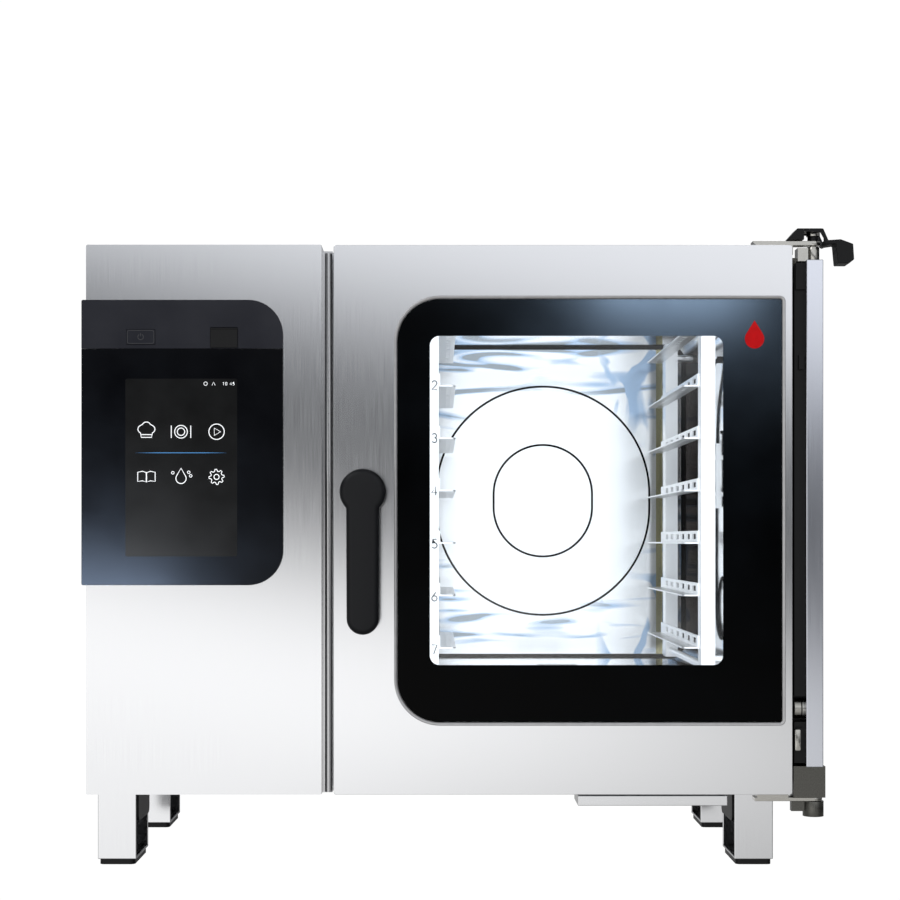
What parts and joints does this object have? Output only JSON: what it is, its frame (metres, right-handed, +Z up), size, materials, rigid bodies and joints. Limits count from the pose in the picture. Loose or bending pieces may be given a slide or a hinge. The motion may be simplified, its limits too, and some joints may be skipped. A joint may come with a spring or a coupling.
{
  "type": "combi steamer oven",
  "caption": "Table-top combi steamer with a side-hung glass door, touch control panel, perforated tray ledges, fan, boiler and outside hinge gear.",
  "frame": {"origin": "under the middle of the oven's bounding box, on the surface that the feet stand on", "axes": "+X towards the hinge side, +Y towards the back, +Z up"},
  "size_m": [0.955, 0.792, 0.8],
  "materials": {
    "brushed_stainless": "fine vertical and horizontal brushing",
    "polished_stainless": "bright polished",
    "black_glass": "black printed safety glass, glossy",
    "door_safety_glass": "clear safety glass with a black printed border",
    "clear_glass": "clear safety glass",
    "anthracite_plastic": "fine moulded grain",
    "black_plastic": "fine moulded grain",
    "grey_plastic": "smooth moulded",
    "grey_metal": "satin grey",
    "heater_alloy": "heat-darkened sheath",
    "anodised_aluminium": "satin anodised extrusion",
    "silicone": "matt",
    "mineral_wool": "matted fibres",
    "circuit_board": "green lacquer"
  },
  "bodies": {
    "oven": {"base_frame": "brushed_stainless", "left_side_panel": "brushed_stainless", "right_side_panel": "brushed_stainless", "rear_panel": "brushed_stainless", "top_panel": "brushed_stainless", "control_front_panel": "brushed_stainless", "header_strip": "anthracite_plastic", "control_glass": "black_glass", "display_module": "anthracite_plastic", "control_board": "circuit_board", "contactor_box": "grey_plastic", "seam_channel": "brushed_stainless", "seam_trim": "brushed_stainless", "front_frame": "brushed_stainless", "chamber_gasket": "silicone", "chamber_liner": "polished_stainless", "insulation": "mineral_wool", "air_baffle": "polished_stainless", "baffle_ring": "polished_stainless", "intake_cover": "polished_stainless", "fan_motor": "grey_metal", "heating_element": "heater_alloy", "steam_generator": "polished_stainless", "condenser_box": "brushed_stainless", "drain_pipe": "grey_plastic", "vent_stubs": "brushed_stainless", "water_inlets": "brushed_stainless", "cable_gland": "black_plastic", "left_rack": "polished_stainless", "right_rack": "polished_stainless", "left_ledges": "polished_stainless", "right_ledges": "polished_stainless", "core_probe": "black_plastic", "probe_holder": "polished_stainless", "probe_lead": "silicone", "floor_strainer": "polished_stainless", "foot_columns": "brushed_stainless", "foot_pads": "black_plastic", "foot_plugs": "black_plastic", "drip_tray": "brushed_stainless", "slide_rails": "brushed_stainless", "hinge_post": "anodised_aluminium", "post_cover": "black_plastic", "gap_cover": "black_plastic", "post_head": "brushed_stainless", "post_foot": "grey_metal", "hinge_cap": "black_plastic", "panel_screws": "brushed_stainless"},
    "door": {"door_pan": "brushed_stainless", "door_glass": "door_safety_glass", "inner_pane": "clear_glass", "door_core": "anthracite_plastic", "door_plates": "brushed_stainless", "latch_case": "grey_metal"},
    "handle": {"handle": "anthracite_plastic"},
    "fan": {"fan_wheel": "polished_stainless", "motor_shaft": "brushed_stainless"},
    "lever": {"release_lever": "black_plastic"},
    "button": {"power_button": "anthracite_plastic"},
    "flap": {"usb_cover": "black_plastic"}
  },
  "joints": [
    {"name": "door_swing", "type": "hinge", "parent": "oven", "child": "door", "pos_m": [0.429, -0.316, 0.44], "axis": [0, 0, 1], "range_deg": [0, 90]},
    {"name": "handle_turn", "type": "hinge", "parent": "door", "child": "handle", "pos_m": [-0.13, -0.371, 0.472], "axis": [0, 1, 0], "range_deg": [0, 180]},
    {"name": "fan_spin", "type": "hinge", "parent": "oven", "child": "fan", "pos_m": [0.124, 0.27, 0.4746], "axis": [0, 1, 0], "continuous": true},
    {"name": "lever_lift", "type": "hinge", "parent": "oven", "child": "lever", "pos_m": [0.4425, -0.316, 0.7825], "axis": [0, -1, 0], "range_deg": [0, 20]},
    {"name": "power_press", "type": "slide", "parent": "oven", "child": "button", "axis": [0, 1, 0], "range_m": [0, 0.0015], "stiffness_N_per_m": 400},
    {"name": "cover_lift", "type": "hinge", "parent": "oven", "child": "flap", "pos_m": [-0.3021, -0.3504, 0.6732], "axis": [-1, 0, 0], "range_deg": [0, 100]}
  ]
}
